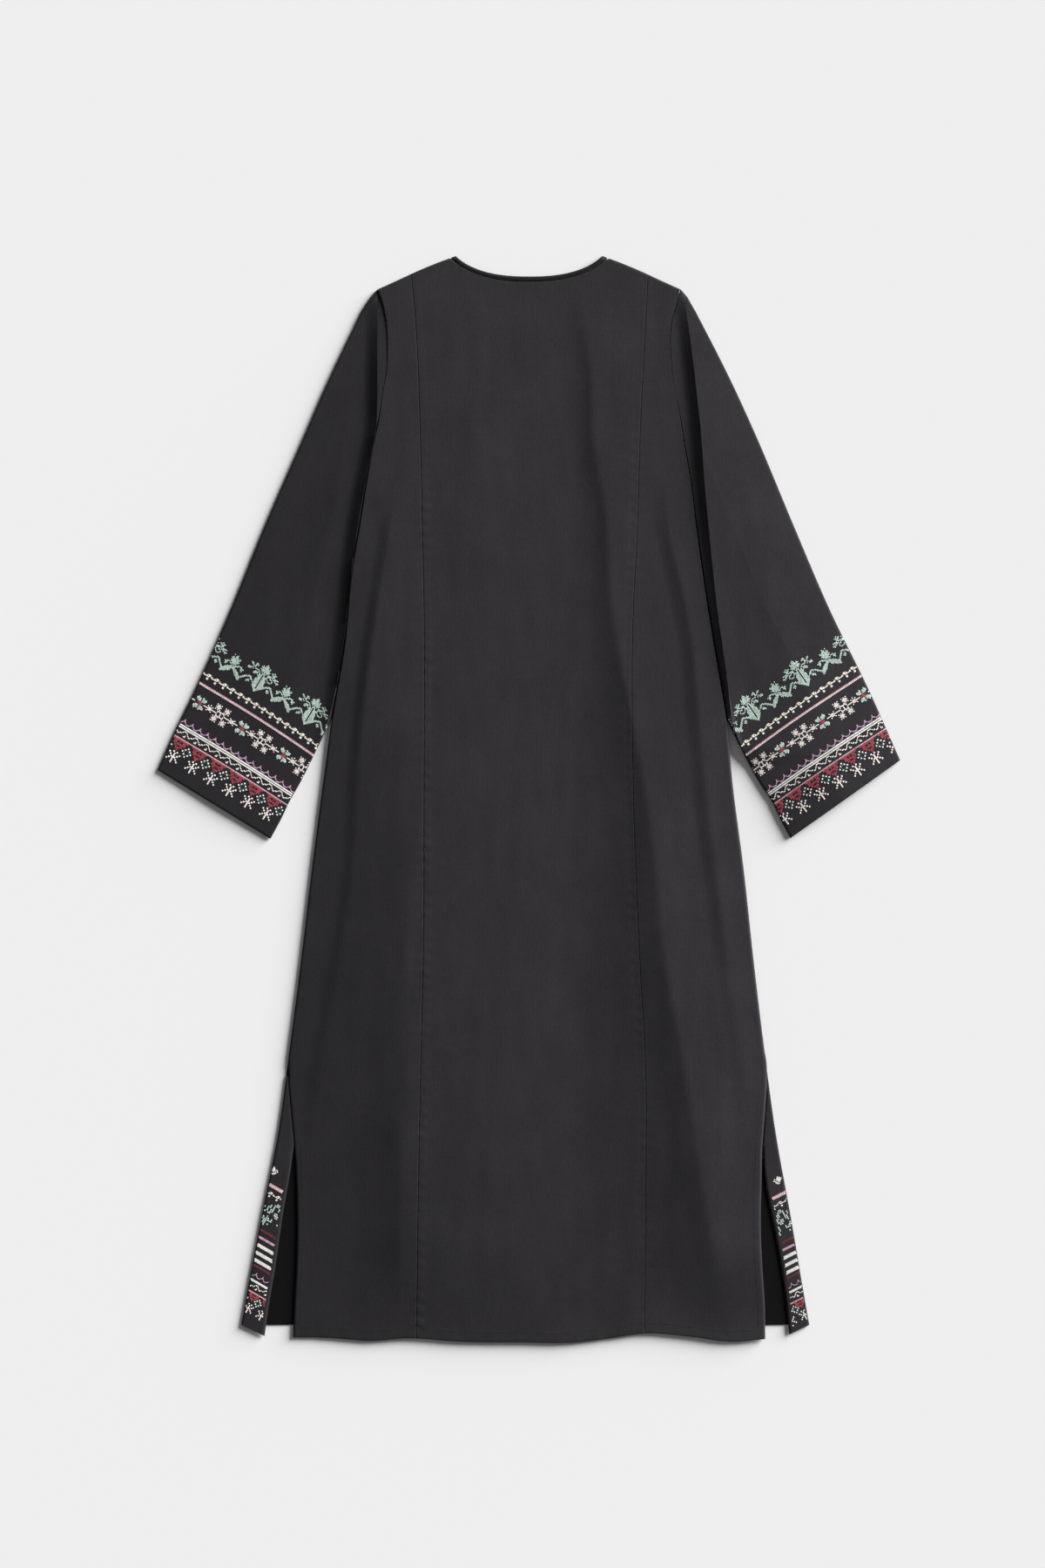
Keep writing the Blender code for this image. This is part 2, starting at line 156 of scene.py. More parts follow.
SLEEVE_OUTER = table(
    "down left right",
    (40, -182.5, 182.5), (47, -189, 189), (60, -198, 197), (90, -213, 213), (164, -248, 250), (217, -271, 274),
    (322, -317, 318), (427, -360, 363), (532, -407, 414), (575, -428, 433), (620, -448, 453),
)
SLEEVE_INNER = table(
    "down left right",
    (560, -239, 239), (595, -256, 256), (637, -277, 279), (658, -289, 293), (679, -299, 303), (703, -312, 316),
)
# Corners of each cuff: outer across and down, inner across and down
CUFFS = {-1: (-448, 620, -312, 703), 1: (448, 608, 316, 702)}

# Lines of the sharp folds that lie on the sleeves beside the body, with how far each stands up
CREVICES = table(
    "down left right left_lift right_lift",
    (44, -183.8, 186, 0, 0), (60, -183.8, 187.5, 1.8, 2.6), (100, -183.8, 193, 4.6, 5.2),
    (133, -183.8, 197, 6.2, 6.4), (170, -183.8, 201, 7.2, 7.2), (206, -185.2, 205, 7.6, 7.4),
    (269, -197.5, 209.5, 7.6, 7.4), (353, -211.5, 217.5, 7.0, 7.0), (427, -219.5, 225.5, 6.2, 6.6),
    (490, -228, 234.5, 5.2, 6.0), (532, -234.5, 241, 4.4, 5.2), (575, -246, 250, 2.0, 2.6),
    (620, -268, 270, 0, 0), (703, -312, 316, 0, 0),
)


def fold(steep_left, steep_right, rounding, fade, kept, *line):
    """A soft fold: how steeply it falls to the left and right, the width that rounds its crest, the length
    over which it ends, the share of its lift that is kept to its right, and its line with its lift and reach.
    """
    return table("down across lift left right", *line), steep_left, steep_right, rounding, fade, kept


FOLDS = (
    # Down the left of the skirt's middle
    fold(
        1.4, 1.1, 5, 200, 0,
        (560, -146, 1.2, 80, 190), (800, -148, 3.4, 95, 200), (1000, -149, 4.6, 105, 200),
        (1330, -151, 5.0, 115, 200),
    ),
    # Along the left side, from the armhole to the slit
    fold(
        1.3, 1.1, 2, 90, 0,
        (300, -163, 1.0, 12, 60), (427, -183, 2.6, 12, 70), (584, -203, 3.6, 12, 80), (742, -213, 3.9, 12, 80),
        (847, -229, 4.0, 12, 90), (952, -248, 3.8, 12, 90), (1057, -264, 3.0, 12, 90),
        (1130, -276, 0.8, 12, 90),
    ),
    # The longest, from the right shoulder to the hem
    fold(
        2.6, 1.2, 3, 90, 0.72,
        (60, 66, 0.9, 24, 80), (133, 75, 2.2, 26, 90), (217, 78, 3.1, 32, 100), (322, 95, 3.8, 42, 100),
        (427, 101, 4.5, 52, 100), (532, 120, 5.4, 66, 100), (637, 140, 6.6, 90, 100), (742, 154, 7.8, 108, 100),
        (847, 164, 8.6, 118, 100), (952, 183, 9.0, 134, 100), (1057, 201, 9.0, 146, 90),
        (1162, 217, 8.8, 156, 80), (1330, 237, 8.2, 168, 70),
    ),
    # The trough to its left
    fold(
        1.1, 1.2, 12, 160, 0,
        (500, 40, -0.6, 150, 50), (742, 48, -2.0, 180, 80), (1000, 62, -2.8, 195, 105),
        (1330, 78, -2.8, 205, 125),
    ),
    # Along the right side, from the armhole to the slit
    fold(
        1.5, 1.1, 2.5, 90, 0,
        (260, 165, 0.5, 16, 50), (322, 168, 1.4, 16, 50), (427, 191, 2.1, 16, 50), (637, 213, 2.6, 16, 60),
        (794, 233, 2.5, 16, 60), (952, 255, 1.6, 16, 50), (1060, 270, 0.4, 16, 50),
    ),
    # Faint ones on the upper back, on each sleeve and beside the left slit
    fold(
        1.4, 1.2, 6, 80, 0,
        (100, -60, 0.3, 60, 40), (190, -62, 0.7, 60, 40), (420, -66, 0.4, 60, 40), (560, -66, 0.2, 60, 40),
    ),
    fold(
        1.6, 1.2, 4, 90, 0,
        (130, -212, 0.6, 36, 44), (322, -238, 1.7, 36, 44), (427, -262, 1.4, 36, 44), (600, -312, 0.6, 36, 44),
    ),
    fold(
        1.5, 1.2, 5, 110, 0,
        (150, 240, 0.2, 30, 50), (330, 276, 0.6, 30, 50), (480, 312, 0.5, 30, 50), (700, 366, 0.2, 30, 50),
    ),
    fold(
        1.5, 1.2, 5, 50, 0,
        (1090, -226, 0.2, 30, 40), (1162, -240, 0.9, 34, 40), (1262, -272, 0.9, 34, 40),
        (1310, -290, 0.4, 34, 40),
    ),
)


def smooth(xs, ys, x):
    """A smooth curve through a table's points, level beyond its two ends."""
    x = np.clip(x, xs[0], xs[-1])
    slopes = np.gradient(ys, xs)
    i = np.clip(np.searchsorted(xs, x, side="right") - 1, 0, len(xs) - 2)
    step = xs[i + 1] - xs[i]
    t = (x - xs[i]) / step
    return (
        ys[i] * (1 + 2 * t) * (1 - t) ** 2
        + ys[i + 1] * t * t * (3 - 2 * t)
        + step * (slopes[i] * t * (1 - t) ** 2 - slopes[i + 1] * t * t * (1 - t))
    )


def side_name(side):
    return "left" if side < 0 else "right"


def read(rows, side, down):
    """Value of a left and right table at one side."""
    return smooth(rows["down"], rows[side_name(side)], down)


def pick(values, across):
    """The left or right one of two values, by the side that a place is on."""
    return np.where(across < 0, values[-1], values[1])


def ease(distance, width):
    """Rises softly from 0 at distance 0 to 1 at the width."""
    t = np.clip(distance / width, 0.0, 1.0)
    return t * t * (3 - 2 * t)


def roll(distance, width):
    """Rises as a quarter circle from 0 at distance 0 to 1 at the width."""
    t = np.clip(distance / width, 0.0, 1.0)
    return np.sqrt(1 - (1 - t) ** 2)


def between(start, end, t):
    return start * (1 - t) + end * t


# Outlines of the cut

def shoulder_down(across):
    return smooth(SHOULDER["across"], SHOULDER["down"], np.abs(across))


def back_side(side, down):
    """Outer edge of the back: the body's outline, then the seam and the slit once the front turns over."""
    turn = ease(down - TURN_START + TURN_BLEND, TURN_BLEND)
    return between(read(BODY, side, down), read(BACK_EDGE, side, down), turn)


def margin_edge(side, down):
    """Far edge of the front's turned margin, sewn to the back above the slit and free below it."""
    edge = side * (back_side(side, down) + side * SEAM_GAP)
    free = np.maximum(edge, side * read(MARGIN_EDGE, side, down))
    return side * np.where(down > SLIT_TOP, free, edge)


def neck_down(across, depth, margin):
    """Neck curve of a given depth, moved outward by the margin. It ends on the shoulder lines."""
    half = NECK_HALF + margin
    start = shoulder_down(half)
    reach = np.minimum(np.abs(across) / half, 1.0)
    return start + (depth + margin - start) * (1 - reach**2.5) ** 0.8


def top_down(across, depth, margin):
    """Top edge of a body panel: the neck's edge between the shoulder lines."""
    on_neck = np.abs(across) < NECK_HALF + margin
    return np.where(on_neck, neck_down(across, depth, margin), shoulder_down(across))


def back_top(across):
    return top_down(across, BACK_NECK_DEPTH, BINDING_WIDTH + SEAM_GAP)


def front_top(across):
    return top_down(across, FRONT_NECK_DEPTH, BINDING_WIDTH + FRONT_NECK_GAP)


def back_hem(across):
    return smooth(BACK_HEM["across"], BACK_HEM["down"], across)


def front_hem(across):
    return np.full_like(across, FRONT_HEM)


def sleeve_inner(side, down):
    """Inner edge of a sleeve: along the body's side, then on its own to the cuff."""
    beside = side * (read(BODY, side, down) + side * SIDE_GAP)
    free = np.maximum(beside, side * read(SLEEVE_INNER, side, down))
    return side * np.where(down > SLEEVE_LEAVES, free, beside)


# Heights of the upper layer

def fold_lift(across, down):
    """Height that the soft folds add at a place."""
    total = np.zeros(np.broadcast(across, down).shape)
    for line, steep_left, steep_right, rounding, fade, kept in FOLDS:
        downs = line["down"]
        place, lift = smooth(downs, line["across"], down), smooth(downs, line["lift"], down)
        left, right = smooth(downs, line["left"], down), smooth(downs, line["right"], down)
        beside = across - place
        away = np.sqrt(beside**2 + rounding**2) - rounding
        rise = np.clip(1 - away / left, 0, 1) ** steep_left
        fall = between(kept, 1, np.clip(1 - away / right, 0, 1) ** steep_right)
        ends = ease(down - downs[0] + fade / 2, fade) * ease(downs[-1] + fade / 2 - down, fade)
        total += lift * ends * np.where(beside < 0, rise, fall)
    return total


def waves(across, down, longest, count, seed, stretch=1.0):
    """Uneven soft waves of about unit height, longer down the cloth than across it by the stretch."""
    draw = np.random.default_rng(seed)
    total = 0.0
    for _ in range(count):
        length = longest * draw.uniform(0.35, 1.0)
        turn = draw.uniform(0, np.pi)
        phase = draw.uniform(0, 2 * np.pi)
        total = total + np.sin(
            2 * np.pi * (across * np.cos(turn) + down * np.sin(turn) / stretch) / length + phase
        )
    return total / np.sqrt(count)


def upper_height(across, down, rest):
    """Upper face of the laid cloth, away from its edges."""
    height = rest + fold_lift(across, down)
    height = height + 0.22 * waves(across, down, 170, 9, 3, 2.5) + 0.07 * waves(across, down, 46, 9, 5, 2.0)
    above = height - LEAST_HEIGHT
    height = LEAST_HEIGHT + 0.5 * (above + np.sqrt(above**2 + 1.0))
    return np.minimum(height, MOST_HEIGHT)


def closed_edge(height, inset, rounding=EDGE_ROLL):
    """Brings the upper face down to a sewn or folded outer edge."""
    return between(EDGE_HEIGHT, height, roll(inset, rounding))


def back_edge(height, across, down, from_side):
    """Brings the back down toward its sides, as far as each stretch of them is drawn in."""
    skirt = ease(down - 420, 320)
    climb = np.clip(from_side / pick(SKIRT_CLIMB, across), 0, 1)
    height = between(height, between(np.minimum(height, pick(SKIRT_EDGE, across)), height, climb), skirt)
    sewn = ease(down - ARMHOLE_FOOT + 30, 50)
    closed = closed_edge(height, from_side, between(BODY_ROLL, EDGE_ROLL, ease(down - SLEEVE_LEAVES, 60)))
    # The free edge below the slit's top isn't drawn down
    free = between(height - SLIT_EDGE_DROP, height, roll(from_side, EDGE_ROLL))
    height = between(height, between(closed, free, ease(down - SLIT_TOP, 30)), sewn)
    return height - (1 - sewn) * SEAM_DIP * (1 - roll(from_side, SEAM_ROLL)) * (across < 0)


def long_seam(inside, across, down):
    """What a long seam adds: its turnings on one side, its puckers and the dip at its stitching."""
    pucker = waves(across * 0.25, down, 17, 7, 11) * ease(down - 160, 120)
    band = ease(inside, 1.2) * ease(ALLOWANCE + 2.0 - inside, 4.0)
    beside = ease(16 + inside, 14) * (inside < 0)
    turnings = band * (pick(SEAM_RAISE, across) + pick(SEAM_PUCKER, across) * pucker)
    return turnings + 0.10 * pucker * beside - SEAM_DIP * (1 - roll(np.abs(inside), SEAM_ROLL))


def back_height(across, down):
    """Upper face of the back, with its seams, hems and turnings."""
    side = np.where(across < 0, -1, 1)
    outline = np.where(across < 0, back_side(-1, down), back_side(1, down))
    seam = np.where(across < 0, read(PRINCESS_SEAMS, -1, down), read(PRINCESS_SEAMS, 1, down))
    from_side = side * (outline - across)
    from_top = down - back_top(across)
    from_hem = back_hem(across) - down
    height = upper_height(across, down, between(TOP_REST, SKIRT_REST, ease(down - 150, 500)))
    height = between(np.minimum(height, HEM_REST), height, ease(from_hem, 130))
    height = back_edge(height, across, down, from_side) + long_seam(side * (seam - across), across, down)
    hem = ease(BACK_HEM_DEPTH + 0.5 - from_hem, 1.0)
    slit = ease(SLIT_HEM_DEPTH + 0.5 - from_side, 1.0) * ease(down - SLIT_TOP + 8, 8)
    height = height + STEP * np.maximum(hem, slit) + 0.10 * hem * waves(across, down * 0.2, 24, 6, 21)
    height = height - 0.9 * (1 - roll(from_hem, 1.6))
    at_neck = np.abs(across) < NECK_HALF + BINDING_WIDTH
    return between(np.where(at_neck, height - 0.6, 2.8), height, roll(from_top, np.where(at_neck, 1.6, 2.2)))


def sleeve_height(side, inset, across, down):
    """Upper face of a sleeve, with the sharp fold beside the body."""
    height = upper_height(across, down, between(TOP_REST, CUFF_REST, ease(down - 200, 400)))
    beside = across - read(CREVICES, side, down)
    lift = smooth(CREVICES["down"], CREVICES[side_name(side) + "_lift"], down)
    # A sleeve lies lower along its free edges, most of all the left one
    outer = side * (read(SLEEVE_OUTER, side, down) - across)
    free = between(np.maximum(outer, 0), inset, ease(down - SLEEVE_LEAVES, 60))
    climb = np.clip(free / SLEEVE_CLIMB, 0, 1) ** 0.8
    height = between(np.minimum(height, SLEEVE_EDGE[side]), height, climb)
    crest = lift * np.clip(1 + beside / CREVICE_REACH, 0, 1) ** 2 * (beside <= 0)
    return closed_edge(np.maximum(height + crest, EDGE_HEIGHT + 0.1), inset)


def margin_height(inset):
    """Upper face of a turned margin, by the distance from the fold."""
    return between(MARGIN_FOLD, MARGIN_REST, roll(inset, MARGIN_ROLL))


# Finishes

def linear(hex_code):
    """Linear colour of an sRGB hex value."""
    channels = np.array([int(hex_code[i : i + 2], 16) / 255 for i in (1, 3, 5)])
    values = np.where(channels <= 0.04045, channels / 12.92, ((channels + 0.055) / 1.055) ** 2.4)
    return (*values, 1.0)


def add(tree, kind, inputs=None, **settings):
    """Adds a node with its settings, and sets or links its inputs by name or number."""
    node = tree.nodes.new(kind)
    for setting, value in settings.items():
        setattr(node, setting, value)
    for socket, value in (inputs or {}).items():
        if isinstance(value, bpy.types.NodeSocket):
            tree.links.new(value, node.inputs[socket])
        else:
            node.inputs[socket].default_value = value
    return node


def new_finish(name, **values):
    """A material, its node tree and its shader, with the shader's plain values set."""
    material = bpy.data.materials.new(name)
    material.use_nodes = True
    shader = material.node_tree.nodes["Principled BSDF"]
    for socket, value in values.items():
        shader.inputs[socket.replace("_", " ")].default_value = value
    return material, material.node_tree, shader


def cotton_poplin(name, dark, light):
    """Black cotton poplin, plain woven, coloured with black dye and pressed.

    It is matt, and a fine rib of threads and slightly uneven dye keep it from looking like paper or plastic.
    Its colour is also painted darker toward the lower left, as painted shade.
    """
    material, tree, shader = new_finish(
        name, Roughness=0.9, Specular_IOR_Level=0.15, Sheen_Weight=0.02, Sheen_Roughness=0.5
    )
    where = add(tree, "ShaderNodeTexCoord").outputs["Object"]
    stretched = add(tree, "ShaderNodeMapping", {"Vector": where, "Scale": (1.0, 0.4, 1.0)}).outputs["Vector"]
    # Slubs are about 2 mm across and 5 mm long, patches of dye about 60 mm
    slubs = add(tree, "ShaderNodeTexNoise", {"Vector": stretched, "Scale": 420.0, "Detail": 3.0})
    patches = add(tree, "ShaderNodeTexNoise", {"Vector": where, "Scale": 16.0, "Detail": 4.0, "Roughness": 0.6})
    # The weave is drawn 1.3 mm apart, coarser than the real 0.3 mm, so that it shows. At a scale of 1 the bands
    # of a wave node are 0.3142 apart
    warp, weft = (
        add(
            tree, "ShaderNodeTexWave",
            {"Vector": where, "Scale": 0.3142 / 0.0013, "Distortion": 1.2, "Detail": 1.0}, bands_direction=run,
        )
        for run in ("X", "Y")
    )
    weave = add(
        tree, "ShaderNodeMath", {0: warp.outputs["Fac"], 1: weft.outputs["Fac"]}, operation="MULTIPLY"
    ).outputs[0]
    tone = add(
        tree, "ShaderNodeMix",
        {"Factor": 0.45, "A": patches.outputs["Fac"], "B": slubs.outputs["Fac"]}, data_type="FLOAT",
    ).outputs[0]
    spread = add(tree, "ShaderNodeMapRange", {"Value": tone, "From Min": 0.3, "From Max": 0.7}).outputs[0]
    colour = add(
        tree, "ShaderNodeMix", {"Factor": spread, 6: linear(dark), 7: linear(light)}, data_type="RGBA"
    ).outputs[2]
    # Painted shade: the colour is drawn up to 30% darker toward the lower left, standing in for the light's
    # fall-off there
    slant = add(tree, "ShaderNodeVectorMath", {0: where, 1: (1.0, 0.3, 0.0)}, operation="DOT_PRODUCT")
    depth = add(
        tree, "ShaderNodeMapRange",
        {"Value": slant.outputs["Value"], "From Min": -0.32, "From Max": 0.14, "To Min": 0.70},
        interpolation_type="SMOOTHSTEP",
    ).outputs[0]
    shaded_colour = add(tree, "ShaderNodeVectorMath", {0: colour, 3: depth}, operation="SCALE").outputs[0]
    tree.links.new(shaded_colour, shader.inputs["Base Color"])
    fine = add(tree, "ShaderNodeBump", {"Height": weave, "Strength": 0.25, "Distance": 0.0002})
    uneven = add(
        tree, "ShaderNodeBump",
        {"Height": slubs.outputs["Fac"], "Strength": 0.3, "Distance": 0.0003, "Normal": fine.outputs["Normal"]},
    )
    tree.links.new(uneven.outputs["Normal"], shader.inputs["Normal"])
    return material


def stranded_cotton(name, shade, deep):
    """Stranded embroidery cotton, twisted and mercerised.

    Its soft gloss and small changes of tone from stitch to stitch make the bands read as thread, not paint.
    """
    material, tree, shader = new_finish(name, Roughness=0.55, Specular_IOR_Level=0.4, Sheen_Weight=0.1)
    where = add(tree, "ShaderNodeTexCoord").outputs["Object"]
    uneven = add(tree, "ShaderNodeTexNoise", {"Vector": where, "Scale": 330.0, "Detail": 1.0})
    spread = add(
        tree, "ShaderNodeMapRange", {"Value": uneven.outputs["Fac"], "From Min": 0.35, "From Max": 0.65}
    ).outputs[0]
    colour = add(
        tree, "ShaderNodeMix", {"Factor": spread, 6: linear(deep), 7: linear(shade)}, data_type="RGBA"
    ).outputs[2]
    tree.links.new(colour, shader.inputs["Base Color"])
    return material


BLACK_POPLIN = cotton_poplin("black_cotton_poplin", "#272528", "#302e31")
# Painted shade: the wrong side of the cloth is drawn near black, far darker than the cloth itself, for the deep
# shade inside the dress at its slits
SHADED_INNER_POPLIN = cotton_poplin("black_cotton_wrong_side_painted_shade", "#040304", "#070607")
BINDING_POPLIN = cotton_poplin("black_cotton_binding", "#19191a", "#201f21")
BLACK_THREAD = stranded_cotton("black_sewing_thread", "#161517", "#101011")
THREADS = {
    "w": stranded_cotton("pinkish_white_thread", "#fffaf6", "#f3e6e1"),
    "g": stranded_cotton("grey_white_thread", "#f2f3ee", "#dadcd6"),
    "c": stranded_cotton("ivory_thread", "#fdf8ec", "#ece4d3"),
    "m": stranded_cotton("mint_thread", "#d6ebe0", "#b0ccbe"),
    "i": stranded_cotton("pale_mint_thread", "#f2f9f5", "#dbe7e0"),
    "k": stranded_cotton("dark_green_thread", "#2f5449", "#213d34"),
    "r": stranded_cotton("crimson_thread", "#b8505a", "#8f3e48"),
    "d": stranded_cotton("dark_red_thread", "#6e2d36", "#57242b"),
    "p": stranded_cotton("dusty_pink_thread", "#dcb2ba", "#c0949e"),
    "v": stranded_cotton("mauve_thread", "#dcb2cf", "#b98cad"),
}


# Making cloth

def cloth_grid(columns, rows, around=False):
    """A flat grid of cloth, and the column and row of each of its vertices."""
    bm = bmesh.new()
    bmesh.ops.create_grid(bm, x_segments=columns, y_segments=rows, size=0.5)
    column_of = bm.verts.layers.int.new("column")
    row_of = bm.verts.layers.int.new("row")
    for vert in bm.verts:
        vert[column_of] = round((vert.co.x + 0.5) * columns)
        vert[row_of] = round((0.5 - vert.co.y) * rows)
    if around:
        first = {vert[row_of]: vert for vert in bm.verts if vert[column_of] == 0}
        last = {vert: first[vert[row_of]] for vert in bm.verts if vert[column_of] == columns}
        bmesh.ops.weld_verts(bm, targetmap=last)
    places = np.array([(vert[column_of], vert[row_of]) for vert in bm.verts])
    return bm, places[:, 0], places[:, 1]


def model_points(across, down, height):
    """Plan positions and heights as points of the model, in metres."""
    across, down, height = np.broadcast_arrays(across, down, height)
    return np.stack((across, LENGTH / 2 - down, height), axis=-1) * MM


def face_up(bm, upper):
    """Turns all faces over if those between the upper vertices look down."""
    bm.normal_update()
    marked = {vert for vert, flag in zip(bm.verts, upper) if flag}
    facing = sum(face.normal.z for face in bm.faces if all(vert in marked for vert in face.verts))
    if facing < 0:
        bmesh.ops.reverse_faces(bm, faces=bm.faces)


def set_places(verts, points):
    for vert, point in zip(verts, points.tolist()):
        vert.co = point


def new_piece(bm, name, materials):
    """Makes the named piece from a bmesh, with smooth faces."""
    mesh = bpy.data.meshes.new(name)
    bm.to_mesh(mesh)
    bm.free()
    for material in materials:
        mesh.materials.append(material)
    for layer in ("column", "row"):
        if layer in mesh.attributes:
            mesh.attributes.remove(mesh.attributes[layer])
    mesh.shade_smooth()
    mesh.set_sharp_from_angle(angle=np.radians(60))
    piece = bpy.data.objects.new(name, mesh)
    bpy.context.scene.collection.objects.link(piece)
    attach(piece, "root")
    return piece


def make_cloth(bm, name, node, material, thickness=CLOTH):
    """A piece of cloth whose outer face is the surface in the bmesh."""
    piece = new_piece(bm, name, [material, SHADED_INNER_POPLIN])
    wall = piece.modifiers.new("wall", "SOLIDIFY")
    wall.thickness = thickness * MM
    wall.offset = -1
    # The inner faces take the wrong side's near-black painted shade
    wall.material_offset = 1
    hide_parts(node)
    return piece


def spread_lines(near_start, near_end, count):
    """Lines across a panel, each by a share of its width and a distance from there."""
    inner = np.linspace(0, 1, count + 2)[1:-1]
    shares = np.concatenate((np.zeros(len(near_start)), inner, np.ones(len(near_end))))
    spread = between(near_start[-1], -near_end[-1], inner)
    return shares, np.concatenate((near_start, spread, -np.array(near_end)[::-1]))


def lay_out(lines, low, high):
    """Positions of the lines between a low and a high edge."""
    shares, distances = lines
    return between(low, high, shares) + distances


def panel_places(columns, rows, left, right, top, hem):
    """Plan positions of a body panel's grid, one row of the arrays for each of its rows."""

    def meet(edge):
        """Where the columns reach an edge. They slant, so it is found in a few steps."""
        down = np.full(len(columns[0]), float(edge(np.zeros(1))[0]))
        for _ in range(6):
            down = edge(lay_out(columns, left(down), right(down)))
        return down

    down = np.array([lay_out(rows, start, end) for start, end in zip(meet(top), meet(hem))]).T
    return lay_out(columns, left(down), right(down)), down


def back_panel(name, columns, left, right, flat, area):
    """One panel of the back, lying on the front."""
    rows = spread_lines(NEAR_EDGE, NEAR_HEM, round(LENGTH / ROW_PITCH))
    across, down = panel_places(columns, rows, left, right, back_top, back_hem)
    bm, column, row = cloth_grid(len(columns[0]) - 1, len(rows[0]) - 1)
    across, down = across[row, column], down[row, column]
    set_places(bm.verts, model_points(across, down, back_height(across, down)))
    face_up(bm, row >= 0)
    piece = make_cloth(bm, name + "_cloth", name, BLACK_POPLIN)
    return piece, flat, area


def back_centre():
    """The back's middle, between the two long seams."""
    columns = spread_lines(NEAR_TURNINGS, NEAR_TURNINGS, round(BACK_CENTRE_WIDTH / PITCH))
    return back_panel(
        "back_centre", columns,
        lambda down: read(PRINCESS_SEAMS, -1, down) + SEAM_GAP / 2,
        lambda down: read(PRINCESS_SEAMS, 1, down) - SEAM_GAP / 2,
        (0.285, 1.31), 0.345,
    )


def back_side_panel(side):
    """One side of the back, from the shoulder and armhole to the hem and the slit."""

    def princess_edge(down):
        return read(PRINCESS_SEAMS, side, down) + side * SEAM_GAP / 2

    def outer_edge(down):
        return back_side(side, down)

    count = round(BACK_SIDE_WIDTH / PITCH)
    if side < 0:
        columns, left, right = spread_lines(NEAR_SLIT, NEAR_EDGE, count), outer_edge, princess_edge
    else:
        columns, left, right = spread_lines(NEAR_EDGE, NEAR_SLIT, count), princess_edge, outer_edge
    return back_panel(f"back_side_{side_name(side)}", columns, left, right, (0.165, 1.27), 0.126)


def margin_strip(side, start, down):
    """Far edge of a turned margin for starts on the fold."""
    across = margin_edge(side, down)
    for _ in range(4):
        across = margin_edge(side, down + MARGIN_SLOPE * np.abs(across - start))
    return across, down + MARGIN_SLOPE * np.abs(across - start)


def turn_margin(bm, side):
    """Turns the front's side margin up and over the fold, and lays it on the front."""

    def down_of(vert):
        return LENGTH / 2 - vert.co.y / MM

    def on_outline(edge):
        insets = [side * (read(BODY, side, down_of(vert)) - vert.co.x / MM) for vert in edge.verts]
        return edge.is_boundary and max(insets) < 1.5 and min(map(down_of, edge.verts)) > TURN_START

    rim = [edge for edge in bm.edges if on_outline(edge)]
    near = (0.0, 0.35, 1.0, MARGIN_ROLL)
    for stage, distance in enumerate((*near, *np.linspace(0, 1, 9)[1:])):
        raised = bmesh.ops.extrude_edge_only(bm, edges=rim)["geom"]
        verts = [item for item in raised if isinstance(item, bmesh.types.BMVert)]
        rim = [item for item in raised if isinstance(item, bmesh.types.BMEdge) and item.is_boundary]
        rim = [edge for edge in rim if all(vert in verts for vert in edge.verts)]
        verts.sort(key=down_of)
        if stage == 0:
            base = np.array([down_of(vert) for vert in verts])
            outline = read(BODY, side, base)
            far, far_down = margin_strip(side, outline, base)
            width = np.abs(far - outline)
        if stage < len(near):
            along = np.minimum(distance, 0.9 * width) / width
        else:
            along = np.maximum(0.05 + 0.95 * distance, np.minimum(MARGIN_ROLL, 0.9 * width) / width)
        edge = ease(2.0 - (1 - along) * width, 2.0)
        height = margin_height(along * width) - 0.5 * edge
        set_places(verts, model_points(between(outline, far, along), between(base, far_down, along), height))


def front():
    """The front in one piece, flat on the surface, with its side margins turned over at the slits."""
    near = (0.0, 1.0)
    columns = spread_lines(near, near, 64)
    rows = spread_lines(near, (*near, 6.0, 13.0), 300)
    left, right = (lambda down, side=side: read(BODY, side, down) for side in (-1, 1))
    across, down = panel_places(columns, rows, left, right, front_top, front_hem)
    bm, column, row = cloth_grid(len(columns[0]) - 1, len(rows[0]) - 1)
    set_places(bm.verts, model_points(across[row, column], down[row, column], UNDER_FACE))
    face_up(bm, row >= 0)
    # The front lies with its outer face down
    bmesh.ops.reverse_faces(bm, faces=bm.faces)
    turn_margin(bm, -1)
    turn_margin(bm, 1)
    return make_cloth(bm, "front_cloth", "front", BLACK_POPLIN)


def sleeve_plan(side, s, t):
    """Plan position on a sleeve: s runs from its outer to its inner edge, t from the armhole to the cuff."""
    cuff_outer, cuff_outer_down, cuff_inner, cuff_inner_down = CUFFS[side]
    outer_down = between(ARMHOLE_TOP, cuff_outer_down, t)
    inner_down = between(ARMHOLE_FOOT, cuff_inner_down, t)
    arm_outer, arm_inner = (read(BODY, side, down) + side * SIDE_GAP for down in (ARMHOLE_TOP, ARMHOLE_FOOT))
    arm = read(BODY, side, between(ARMHOLE_TOP, ARMHOLE_FOOT, s)) + side * SIDE_GAP
    along = between(arm, between(cuff_outer, cuff_inner, s), t)
    beside = between(read(SLEEVE_OUTER, side, outer_down), sleeve_inner(side, inner_down), s)
    corners = between(between(arm_outer, arm_inner, s), between(cuff_outer, cuff_inner, s), t)
    return along + beside - corners, between(outer_down, inner_down, s)


SLEEVE_WIDTH = ARMHOLE_FOOT - ARMHOLE_TOP


def sleeve_inset(side, across, down):
    """Distance in from the nearer long edge of a sleeve, measured level."""
    outer = side * (read(SLEEVE_OUTER, side, down) - across)
    inner = side * (across - sleeve_inner(side, down))
    return np.maximum(np.minimum(outer, inner), 0)


